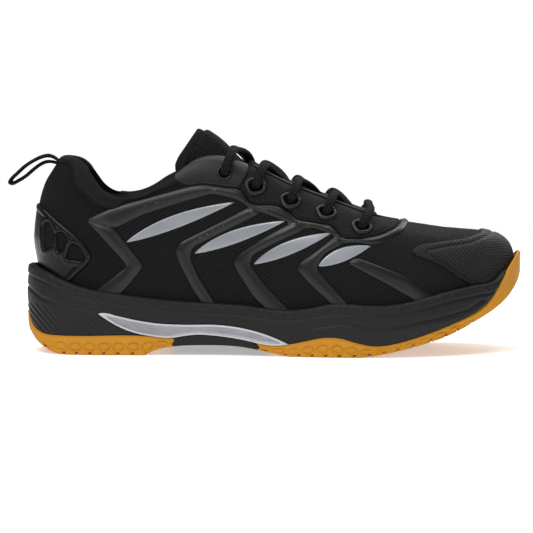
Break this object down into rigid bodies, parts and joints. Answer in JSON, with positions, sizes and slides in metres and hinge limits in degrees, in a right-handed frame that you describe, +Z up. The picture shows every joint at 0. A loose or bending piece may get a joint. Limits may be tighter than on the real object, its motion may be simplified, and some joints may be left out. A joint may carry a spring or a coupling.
{
  "type": "court shoe",
  "caption": "Low-cut indoor court shoe for the right foot with a lugged gum outsole, cupped foam midsole, arch shank blade, caged textile upper, padded collar and tongue, and a round lace.",
  "frame": {"origin": "middle of the bounding box in X and Y, on the floor under the sole", "axes": "+X from heel to toe, +Y towards the medial (inner) side of the foot, +Z up"},
  "size_m": [0.3062, 0.1077, 0.1334],
  "materials": {
    "gum_rubber": "matte, slightly translucent gum",
    "black_foam": "matte moulded foam",
    "silver_plastic": "satin metallic",
    "board_textile": "non-woven",
    "insole_textile": "knitted cover on foam",
    "black_mesh": "coarse mesh",
    "black_knit": "fine knit",
    "lining_textile": "brushed knit",
    "hidden_foam": "open-cell foam",
    "stiffener": "impregnated board",
    "toe_rubber": "textured abrasion film",
    "black_cage": "fine grained moulded film",
    "grey_film": "satin heat-pressed film",
    "black_synthetic": "smooth coated synthetic",
    "eyelet_plastic": "satin",
    "black_webbing": "woven webbing with fine grey lines",
    "lace_textile": "braided",
    "aglet_plastic": "clear over black"
  },
  "bodies": {
    "shoe": {"outsole_heel": "gum_rubber", "outsole_forefoot": "gum_rubber", "midsole": "black_foam", "shank_plate": "silver_plastic", "strobel_board": "board_textile", "insole": "insole_textile", "vamp_mesh": "black_mesh", "heel_panel": "black_knit", "vamp_lining": "lining_textile", "collar_lining": "lining_textile", "collar_foam": "hidden_foam", "heel_counter": "stiffener", "toe_puff": "stiffener", "toe_cap": "toe_rubber", "heel_cage": "black_cage", "cage_lateral": "black_cage", "cage_medial": "black_cage", "accent_films_lateral": "grey_film", "accent_films_medial": "grey_film", "top_patch_lateral": "black_synthetic", "top_patch_medial": "black_synthetic", "eyestay_lateral": "black_synthetic", "eyestay_medial": "black_synthetic", "eyelets_lateral": "eyelet_plastic", "eyelets_medial": "eyelet_plastic", "throat_webbing_lateral": "black_webbing", "throat_webbing_medial": "black_webbing", "lace": "lace_textile", "lace_end_lateral": "lace_textile", "lace_end_medial": "lace_textile", "aglet_lateral": "aglet_plastic", "aglet_medial": "aglet_plastic"},
    "tongue": {"tongue_face": "black_mesh", "tongue_foam": "hidden_foam", "tongue_lining": "lining_textile"},
    "pull_tab": {"pull_tab": "black_webbing"}
  },
  "joints": [
    {"name": "tongue_flex", "type": "hinge", "parent": "shoe", "child": "tongue", "pos_m": [0.0712, 0.001, 0.0695], "axis": [0, 1, 0], "range_deg": [-12, 0], "stiffness_Nm_per_rad": 1.2},
    {"name": "pull_tab_flex", "type": "hinge", "parent": "shoe", "child": "pull_tab", "pos_m": [-0.1255, 0.001, 0.114], "axis": [0, 1, 0], "range_deg": [-30, 35], "stiffness_Nm_per_rad": 0.02}
  ]
}
